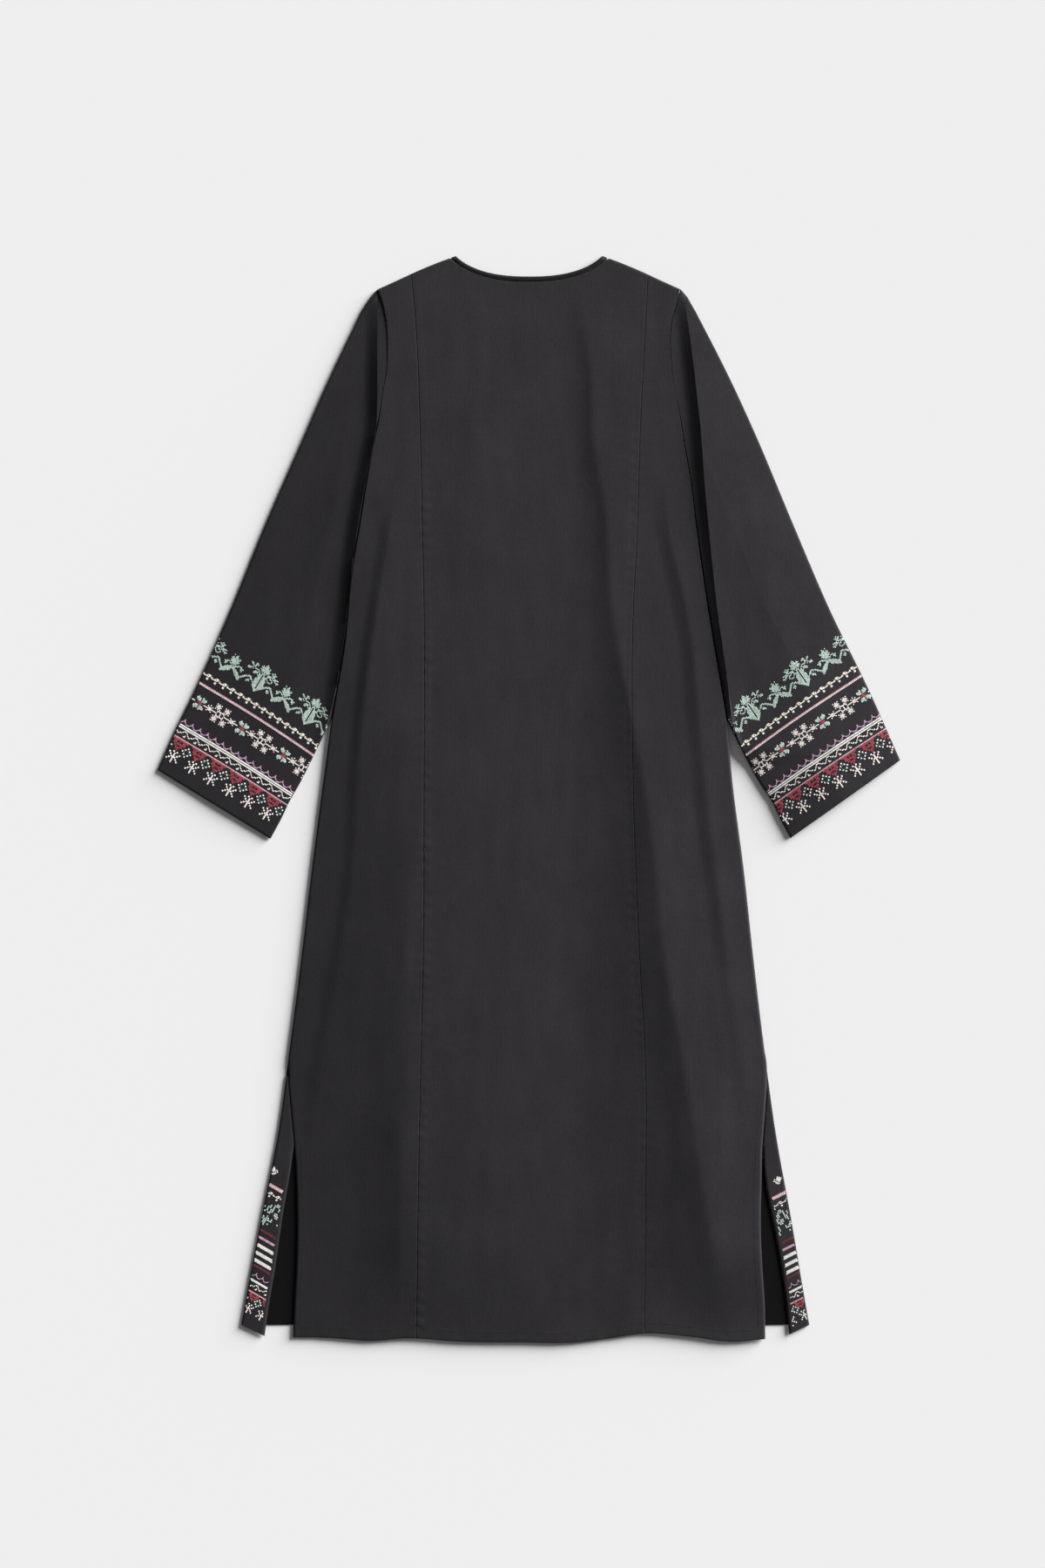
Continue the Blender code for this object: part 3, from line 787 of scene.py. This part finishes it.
def sleeve(side):
    """A set-in sleeve, one piece folded round to a tube."""
    near = np.array(NEAR_EDGE[:-1]) / SLEEVE_WIDTH
    tops = [*near, *np.linspace(0.018, 0.982, 72), *(1 - near[::-1])]
    unders = [*near[1:], *np.linspace(0.03, 0.97, 18), *(1 - near[:0:-1])]
    ring = np.array([*tops, *unders[::-1]])
    on_top = np.array([True] * len(tops) + [False] * len(unders))
    rows = np.array([
        0, 0.0009, 0.002, 0.0035, 0.006, *np.linspace(0.01, 0.3, 76), *np.linspace(0.307, 0.985, 100),
        0.991, 0.995, 0.998, 1.0,
    ])
    bm, column, row = cloth_grid(len(ring), len(rows) - 1, around=True)
    s, t, upper = ring[column], rows[row], on_top[column]
    across, down = sleeve_plan(side, s, t)
    inset = np.minimum(s, 1 - s) * SLEEVE_WIDTH
    # The grid closes in on the sharp fold, so that its step is steep,
    beside = across - read(CREVICES, side, down)
    near = np.clip(np.abs(beside) / CREVICE_WIDTH, 0, 1)
    drawn = ease(inset, 4.0) * ease(t * 600, 4.0) * ease(560 - down, 60) * ease(down - 44, 12) * upper
    across = across - beside * (1 - near) * drawn
    height = sleeve_height(side, inset, across, down)
    # and its crest leans over the step
    beside = beside * (1 - (1 - near) * drawn)
    across = across + CREVICE_LEAN * np.clip(1 + beside / 4.0, 0, 1) * (beside <= 0) * drawn
    from_arm, from_cuff = t * 600, (1 - t) * 620
    height = height - SEAM_DIP * (1 - roll(from_arm, SEAM_ROLL)) - 0.8 * (1 - roll(from_cuff, 1.6))
    low = between(EDGE_HEIGHT, UNDER_FACE, roll(inset, EDGE_ROLL))
    set_places(bm.verts, model_points(across, down, np.where(upper, height, low)))
    face_up(bm, upper)
    name = f"sleeve_{side_name(side)}"
    return make_cloth(bm, name + "_cloth", name, BLACK_POPLIN)


# The binding's section, from its sewn edge over the neck's edge and back: share of its width, and height on
# top and below
BINDING_SECTION = table(
    "margin upper lower",
    (1.0, 5.4, 1.4), (0.86, 6.2, 1.7), (0.5, 6.7, 1.9), (0.2, 6.4, 1.8), (0.05, 5.8, 1.5), (0.0, 5.0, 1.1),
    (0.05, 4.2, 0.7), (0.2, 3.8, 0.55), (0.5, 3.8, 0.5), (0.86, 3.8, 0.5), (1.0, 3.8, 0.5), (1.0, 3.8, 0.5),
)


def neck_binding():
    """A narrow band folded over the neck's raw edge, along the back on top and along the front below."""
    turns = np.concatenate((np.linspace(-1, 1, 121), np.linspace(1, -1, 121)[1:-1]))
    on_back = np.array([True] * 121 + [False] * 119)
    bm, column, row = cloth_grid(len(turns), 11, around=True)
    reach = np.sign(turns) * (1 - (1 - np.abs(turns)) ** 1.6)
    margin = BINDING_SECTION["margin"][row] * BINDING_WIDTH
    across = reach[column] * (NECK_HALF + margin)
    depth = np.where(on_back[column], BACK_NECK_DEPTH, FRONT_NECK_DEPTH)
    down = np.maximum(neck_down(across, depth, margin), shoulder_down(np.maximum(np.abs(across), NECK_HALF)))
    share = np.where(on_back[column], 1.0, 0.0) * ease(1 - np.abs(turns[column]), 0.12)
    height = between(BINDING_SECTION["lower"][row], BINDING_SECTION["upper"][row], share)
    set_places(bm.verts, model_points(across, down, height))
    face_up(bm, on_back[column] & (row < 5))
    return make_cloth(bm, "neck_binding_cloth", "neck_binding", BINDING_POPLIN, 0.4)


# Stitches

def cross_stitch():
    """Two strands that cross, each a low bar with sloping sides."""
    bm = bmesh.new()
    for turn, lift in ((45, 0.06), (-45, 0.15)):
        made = bmesh.ops.create_cube(bm, size=1.0)["verts"]
        bmesh.ops.scale(bm, vec=(2.5, 1.0, 0.28), verts=made)
        crest = [vert for vert in made if vert.co.z > 0]
        bmesh.ops.scale(bm, vec=(0.86, 0.76, 1.0), verts=crest)
        bmesh.ops.translate(bm, vec=(0, 0, lift), verts=made)
        bmesh.ops.rotate(bm, cent=(0, 0, 0), matrix=Matrix.Rotation(np.radians(turn), 3, "Z"), verts=made)
    return bm


def plain_stitch():
    """A cross-stitch of the face that rests on the surface, as one low square mound."""
    bm = bmesh.new()
    turn = Matrix.Rotation(np.radians(45), 4, "Z")
    bmesh.ops.create_cone(bm, cap_ends=True, segments=4, radius1=1.4, radius2=0, depth=0.3, matrix=turn)
    bmesh.ops.translate(bm, vec=(0, 0, 0.11), verts=bm.verts)
    return bm


def running_stitch():
    """One short stitch of sewing thread, rounded at its ends."""
    bm = bmesh.new()
    made = bmesh.ops.create_cube(bm, size=1.0)["verts"]
    bmesh.ops.scale(bm, vec=(2.4, 0.5, 0.34), verts=made)
    crest = [vert for vert in made if vert.co.z > 0]
    bmesh.ops.scale(bm, vec=(0.75, 0.55, 1.0), verts=crest)
    return bm


def sew(name, unit, spots, over, materials):
    """Repeats one stitch at many spots, each vertex taken over to its place on the cloth.

    The spots are rows of a place along, a place beside, a material's number and a size. The function over
    takes places along, beside and up, in millimetres, to points of the model.
    """
    spots = np.array(spots, float)
    shape = np.array([vert.co[:] for vert in unit.verts])
    stitch = new_piece(unit, name, materials)
    repeat = stitch.modifiers.new("repeat", "ARRAY")
    repeat.count = len(spots)
    bpy.context.view_layer.update()
    whole = stitch.evaluated_get(bpy.context.evaluated_depsgraph_get())
    mesh = bpy.data.meshes.new_from_object(whole)
    stitch.modifiers.remove(repeat)
    stitch.data = mesh
    mesh.name = name
    sizes = spots[:, None, 3]
    along = spots[:, None, 0] + sizes * shape[None, :, 0]
    beside = spots[:, None, 1] + sizes * shape[None, :, 1]
    up = sizes**0.5 * shape[None, :, 2]
    points = over(along, beside, up)
    mesh.vertices.foreach_set("co", points.reshape(-1))
    faces = len(mesh.polygons) // len(spots)
    mesh.polygons.foreach_set("material_index", np.repeat(spots[:, 2].astype(int), faces))
    # Mirrored places, such as those on an underside, turn a stitch inside out
    steps = np.eye(4, 3, -1)
    start, *ends = over(spots[0, 0] + steps[:, 0], spots[0, 1] + steps[:, 1], steps[:, 2])
    if np.linalg.det([end - start for end in ends]) < 0:
        mesh.flip_normals()
    mesh.shade_flat()
    mesh.update()
    return stitch


# Charts: one letter for each cross-stitch, by its thread, from the top row down
DROP = """
..w.w..
w..w..w
.w.w.w.
..www..
.w.w.w.
w..w..w
...w...
""".split()
DIAMOND = """
..i..
.iki.
ik.ki
.iki.
..i..
""".split()
TRIANGLE = """
rrrrrrrrr
.rr.d.rr.
.rrrrrrr.
..rd.dr..
...rrr...
....r....
""".split()
WHITE_VINE = """
..www.....
.w...w....
w.....w..w
....w..ww.
...ww.....
""".split()
ZIGZAG = """
....v....
....v....
...vvv...
..v...v..
vv.....vv
""".split()
GARLAND = """
..................w.w.w...w.w.w.........
...................www.....www..........
..i...i...........wwwww...wwwww.........
.immm.mmmi.........www.....www..........
.immm.mmmi....w...w.w.w...w.w.w.........
..mmmrmmm...w...w....wwwwwww.....w...w..
....rrr......www.....w..w..w......www...
w..rrrrr.wwwwwwwwwwww...w...wwwwwwwwwwww
....rrr......www.....w..w..w......www...
..mmmrmmm...w...w....wwwwwww.....w...w..
.immm.mmmi.........w.w.w...w.w.w........
.immm.mmmi..........www.....www.........
..i...i............wwwww...wwwww........
....................www.....www.........
...................w.w.w...w.w.w........
""".split()
CREAM_VINE = """
..ccc....
.c.cc.c..
cccc..ccc
.........
..cc.....
..cc.....
""".split()
GREEN_VINE = """
........................m........................
.......................mmm.......................
.....................m.mim.m.....................
...............mm...mimmmmmm....m................
...........im..mmm...mmmmimm..mm.mm..............
............mm.i....mmimmmmmm..mmm...............
..............mm.....mmmmmim....mi...........m..m
.............m..immm..m.m.m.mmimm.mmmi.........mm
m.m.......mmm.m.....i..mmm..mmm..mim.........m.mi
mmm.......imm....imm.m.m.m..m..im..mmmi.....mimmm
im..............mmmm.imm.mmmi....m...m.......mmmm
mmm.............mm..mmmm.imm.m...m..........mmimm
mi...................mim.mmm..mmm............mmmm
m..mmim..............mmm.mimm.............mmm.mim
.mim..mmm...........mmmi.mmmm...........mmm..mm.m
mm....im......mmm...immm.mmim....mim.....im....m.
mm.....m....mmm.mi..mmmm.mmmm..imm.mm....m....mmm
immm.......mm....mm.mimm.mmmimmm....mm......mmmmm
.mmmim....mi...mm..mmmmm.immmmm..mm..mm....mmmim.
..mmmmm..mm...mim...mmim.mmmmi...mmm..mm..mimmmm.
...mmimmmm....m.....mmmm.mimm.....m....mimmmmmm..
....mmmmm............mmi.mmm............mmmmi....
......imm.............mmmmm.............mimm.....
.......mm..............mim..............mm.......
........................m........................
""".split()
SMALL_VINE = """
........mm......
m......mmmm.....
mm...m.m..mm....
.m..mm.m..mm....
.mm.m.mm...mm...
..m.m.mm.mm.mm..
..mm.mm..mmmm...
..m.......mm.mm.
...m..m......mmm
...mm.mm.m...mm.
....mmmmmm...mmm
.....mm.......m.
.....mm.m.....m.
......m.........
""".split()
SPRIG = """
..w....
.www.w.
wwwww.w
.www.w.
..w.ww.
...ww..
""".split()

# Bands of a cuff: a chart, its pitch, the size of its stitches, the distance from one repeat to the next, the
# first repeat's left column and the lowest row, all but the chart in stitches of the usual size
CUFF_BANDS = (
    (DROP, 1.0, 0.92, 12, 0.3, 7.6),
    (DIAMOND, 1.22, 0.86, 12, 6.2, 13.6),
    (TRIANGLE, 1.05, 0.94, 12, -1.5, 15.0),
    (("pp",), 0.6, 0.72, 1.2, 0, 21.2),
    (WHITE_VINE, 0.68, 0.64, 6.8, 0.5, 22.9),
    (("gg", "..", "gg"), 0.6, 0.84, 1.2, 0, 26.8),
    (ZIGZAG, 0.54, 0.6, 4.85, 1.5, 29.2),
    (GARLAND, 0.675, 0.64, 27, -2.7, 38.6),
    (("pp", "wp"), 0.6, 0.7, 1.2, 0, 52.5),
    (CREAM_VINE, 0.56, 0.64, 5.05, 0.7, 56.6),
    (GREEN_VINE, 0.673, 0.61, 33, 6.2, 64.2),
)
# Bands of the front's hem, the same way
HEM_BANDS = (
    (DROP, 0.8, 0.7, 8.3, -3.4, 5.8),
    (DIAMOND, 0.95, 0.74, 8.3, 0.4, 11.2),
    (TRIANGLE, 0.78, 0.76, 8.3, -4.7, 12.8),
    (("pp",), 0.6, 0.72, 1.2, 0, 17.0),
    (WHITE_VINE, 0.55, 0.56, 6.0, 1.5, 19.0),
    (("gg", "gg"), 0.6, 0.66, 1.2, 0, 22.5),
    (ZIGZAG, 0.46, 0.46, 4.1, 0, 25.1),
    (("dd", "dd"), 0.6, 0.66, 1.2, 0, 30.0),
    *((("gg", "ww", "gg"), 0.6, 0.62, 1.2, 0, row) for row in (32.5, 36.4, 40.4)),
    (("pp", "vv"), 0.6, 0.66, 1.2, 0, 44.8),
    (("dd", "dd"), 0.6, 0.66, 1.2, 0, 48.5),
    (SMALL_VINE, 1.0, 0.78, 17, -23, 52.3),
    (CREAM_VINE, 0.5, 0.5, 4.6, 0, 67.0),
    (("pp", "wp", "pp"), 0.6, 0.66, 1.2, 0, 72.2),
    (SPRIG, 0.7, 0.7, 14, -28.6, 78.8),
)


def chart_spots(bands, low, high):
    """Place along, place up, thread and size of every stitch of the bands, in stitches of the usual size."""
    letters = list(THREADS)
    spots = []
    for chart, pitch, size, period, first, bottom in bands:
        repeats = range(int(np.floor((low - first) / period)) - 1, int(np.ceil((high - first) / period)) + 1)
        for repeat in repeats:
            for up, line in enumerate(reversed(chart)):
                for step, letter in enumerate(line):
                    column = first + repeat * period + step * pitch
                    if letter != "." and low <= column <= high:
                        spots.append((column, bottom + up * pitch, letters.index(letter), size))
    return np.array(spots)


def cuff_place(side, along, up):
    """Plan position on a cuff, by millimetres along its edge from the outer corner and up from it."""
    outer, outer_down, inner, inner_down = CUFFS[side]
    edge = np.array((inner - outer, inner_down - outer_down), float)
    edge /= np.hypot(*edge)
    rise = np.array((-side * edge[1], side * edge[0]))
    # The bands sag toward the inner end, more so higher up, and the right cuff's sit lower at its outer end
    share = along / CUFF_LENGTH
    up = up - (CUFF_DROP if side > 0 else 0.0) * (1 - share)
    up = up - 0.026 * up * share**2 + 0.8 * np.sin(np.pi * np.clip(share, 0, 1))
    return outer + along * edge[0] + up * rise[0], outer_down + along * edge[1] + up * rise[1]


def embroider_cuff(side):
    """The bands round one cuff, on its upper and lower face."""
    spots = chart_spots(CUFF_BANDS, -28, 82)
    spots[:, 0] -= CUFF_SHIFT[side]
    spots[:, :2] *= STITCH
    across, down = cuff_place(side, spots[:, 0], spots[:, 1])
    outer = side * (read(SLEEVE_OUTER, side, down) - across)
    inner = side * (across - sleeve_inner(side, down))
    spots = spots[(outer > CUFF_CLEAR) & (inner > CUFF_CLEAR)]

    def upper(along, beside, up):
        across, down = cuff_place(side, along, beside)
        height = sleeve_height(side, sleeve_inset(side, across, down), across, down)
        return model_points(across, down, height + up)

    def lower(along, beside, up):
        across, down = cuff_place(side, along, beside)
        inset = sleeve_inset(side, across, down)
        return model_points(across, down, between(EDGE_HEIGHT, UNDER_FACE, roll(inset, EDGE_ROLL)) - up)

    threads = list(THREADS.values())
    name = f"cuff_embroidery_{side_name(side)}"
    return [
        sew(name + "_upper", cross_stitch(), spots, upper, threads),
        sew(name + "_lower", cross_stitch(), spots, lower, threads),
    ]


# Where the hem's bands start on each turned margin, and how far they slant there
STRIPS = {-1: (-346.0, 1285.7), 1: (338.5, 1293.9)}
STRIP_ANGLE = {-1: 30.0, 1: 27.0}


def strip_place(side, along, up):
    """Plan position on a turned margin, by millimetres inward along its rows and up from its hem."""
    corner, corner_down = STRIPS[side]
    turn = np.radians(STRIP_ANGLE[side])
    across = along * np.cos(turn) + up * np.sin(turn)
    return corner - side * across, corner_down + along * np.sin(turn) - up * np.cos(turn)


def embroider_margin(side):
    """The ends of the hem's bands, on one turned margin."""
    spots = chart_spots(HEM_BANDS, -40, 20)
    # The topmost sprig sits further in on the right margin
    spots[spots[:, 1] > SPRIG_ROW, 0] += SPRIG_SHIFT[side]
    spots[:, :2] *= STITCH
    across, down = strip_place(side, spots[:, 0], spots[:, 1])
    outer = side * (read(BODY, side, down) - across)
    inner = side * (across - margin_edge(side, down))
    spots = spots[(outer > MARGIN_CLEAR) & (inner > STRIP_CLEAR)]

    def over(along, beside, up):
        across, down = strip_place(side, along, beside)
        inset = np.maximum(side * (read(BODY, side, down) - across), 0)
        return model_points(across, down, margin_height(inset) + up)

    name = f"margin_embroidery_{side_name(side)}"
    return sew(name, cross_stitch(), spots, over, list(THREADS.values()))


def embroider_front():
    """The hem's bands across the front's outer face, which lies on the surface."""
    spots = chart_spots(HEM_BANDS, -158, 158)
    spots[:, :2] *= STITCH
    down = FRONT_HEM - spots[:, 1]
    inside = (spots[:, 0] > read(BODY, -1, down) + 3) & (spots[:, 0] < read(BODY, 1, down) - 3)
    spots = spots[inside]

    def over(along, beside, up):
        return model_points(along, FRONT_HEM - beside, UNDER_FACE - up)

    return sew("hem_embroidery", plain_stitch(), spots, over, list(THREADS.values()))


def stitch_line(name, start, end, pitch, over):
    """One row of sewing thread between two places along a path."""
    spots = [(along, 0, 0, 1) for along in np.arange(start, end, pitch)]
    return sew(name, running_stitch(), spots, over, [BLACK_THREAD])


def back_hem_stitching():
    def over(along, beside, up):
        down = back_hem(along) - BACK_HEM_DEPTH + 1.2 - beside
        return model_points(along, down, back_height(along, down) + up)

    return stitch_line("back_hem_stitching", -274, 276, 3.3, over)


def slit_stitching(side):
    def over(along, beside, up):
        across = back_side(side, along) - side * (SLIT_HEM_DEPTH - 1.0 + beside)
        return model_points(across, along, back_height(across, along) + up)

    return stitch_line(f"slit_stitching_{side_name(side)}", SLIT_TOP - 6, 1290, 3.3, over)


def neck_stitching():
    def over(along, beside, up):
        margin = BINDING_WIDTH - 1.0 + beside
        down = neck_down(along, BACK_NECK_DEPTH, margin)
        return model_points(along, down, NECK_STITCH_HEIGHT + up)

    return stitch_line("neck_stitching", -84, 84, 3.1, over)


# The dress

back = back_centre()
sides = {side: back_side_panel(side) for side in (-1, 1)}
front_cloth = front()
sleeves = {side: sleeve(side) for side in (-1, 1)}
binding = neck_binding()

cuffs = {side: embroider_cuff(side) for side in (-1, 1)}
margins = [embroider_margin(side) for side in (-1, 1)]
hem_bands = embroider_front()
hem_stitches = back_hem_stitching()
slits = {side: slit_stitching(side) for side in (-1, 1)}
neck_stitches = neck_stitching()


# Floor, light and camera

def floor():
    """A plain pale floor."""
    bm = bmesh.new()
    bmesh.ops.create_grid(bm, x_segments=1, y_segments=1, size=25.0)
    bmesh.ops.translate(bm, vec=(0, 0, -0.0002), verts=bm.verts)
    mesh = bpy.data.meshes.new("floor")
    bm.to_mesh(mesh)
    bm.free()
    pale = new_finish("pale_floor", Base_Color=(0.8, 0.8, 0.8, 1.0), Roughness=0.9, Specular_IOR_Level=0.0)
    mesh.materials.append(pale[0])
    piece = bpy.data.objects.new("floor", mesh)
    bpy.context.scene.collection.objects.link(piece)


SUN_ELEVATION = 15.0
SUN_BEARING = 36.0  # right and a little above in the view
SUN_STRENGTH = 11.0
SKY_STRENGTH = 0.16


def light():
    """A broad low light from the upper right, and an even sky."""
    lamp = bpy.data.lights.new("studio_light", "SUN")
    lamp.energy = SUN_STRENGTH
    lamp.angle = np.radians(40)
    lamp_object = bpy.data.objects.new("studio_light", lamp)
    bpy.context.scene.collection.objects.link(lamp_object)
    height, bearing = np.radians(SUN_ELEVATION), np.radians(SUN_BEARING)
    toward = Vector((np.cos(height) * np.cos(bearing), np.cos(height) * np.sin(bearing), np.sin(height)))
    lamp_object.rotation_euler = toward.to_track_quat("Z", "Y").to_euler()
    world = bpy.data.worlds.new("studio")
    world.use_nodes = True
    world.node_tree.nodes["Background"].inputs["Color"].default_value = (1.0, 1.0, 1.0, 1.0)
    world.node_tree.nodes["Background"].inputs["Strength"].default_value = SKY_STRENGTH
    bpy.context.scene.world = world
    bpy.context.scene.view_settings.view_transform = "Standard"


def camera():
    """Straight above the dress, at the photograph's framing of 1.26 by 1.89 m."""
    data = bpy.data.cameras.new("camera")
    data.sensor_fit = "VERTICAL"
    data.sensor_height = 36.0
    data.lens = 36.0 * 4.995 / 1.89
    data.clip_end = 50.0
    eye = bpy.data.objects.new("camera", data)
    eye.location = (-0.0079, 0.0182, 5.0)
    bpy.context.scene.collection.objects.link(eye)
    bpy.context.scene.camera = eye


floor()
light()
camera()
